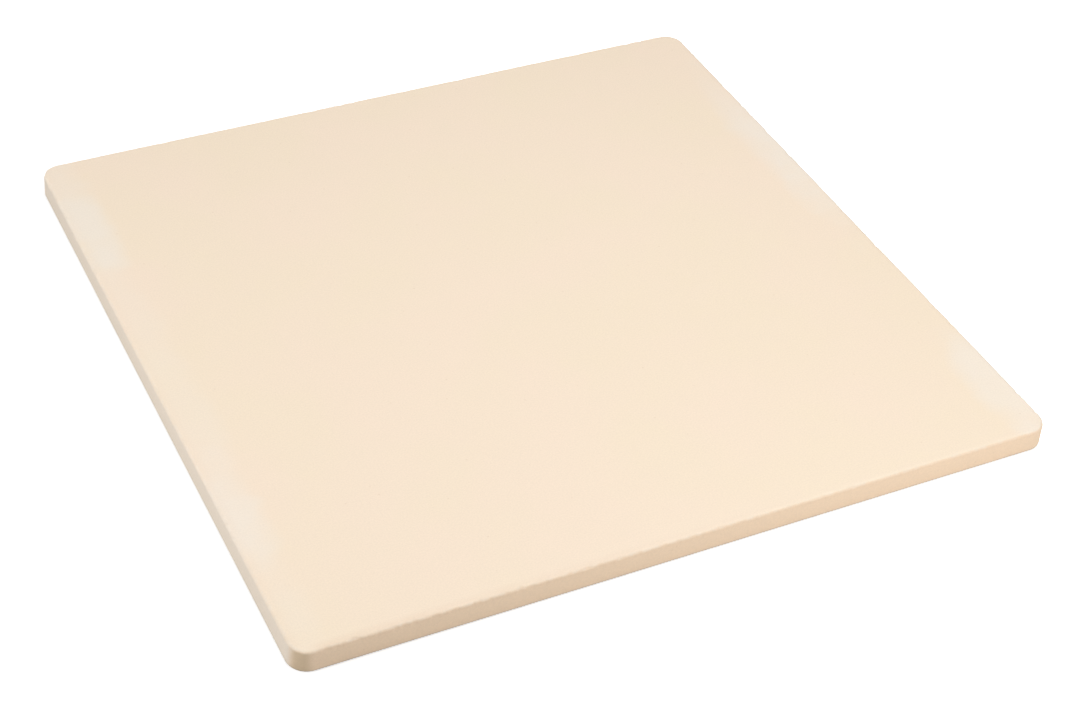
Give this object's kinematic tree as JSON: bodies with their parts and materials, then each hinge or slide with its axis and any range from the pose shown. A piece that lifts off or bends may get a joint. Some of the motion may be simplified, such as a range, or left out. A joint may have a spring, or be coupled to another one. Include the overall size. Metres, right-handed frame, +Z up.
{
  "type": "pizza stone",
  "caption": "Flat square slab of cream fired ceramic with round corners and softly eased edges, laid on an oven shelf to bake pizza and bread on.",
  "frame": {"origin": "middle of the underside, on the surface that the slab rests on", "axes": "+Z up, out of the baking face; +X along the long front edge in the picture, from its left end to its right end; +Y towards the back"},
  "size_m": [0.38, 0.38, 0.012],
  "materials": {
    "cordierite": "matte, unglazed, with a fine sandy grain"
  },
  "bodies": {
    "root": {"stone_slab": "cordierite"}
  },
  "joints": []
}
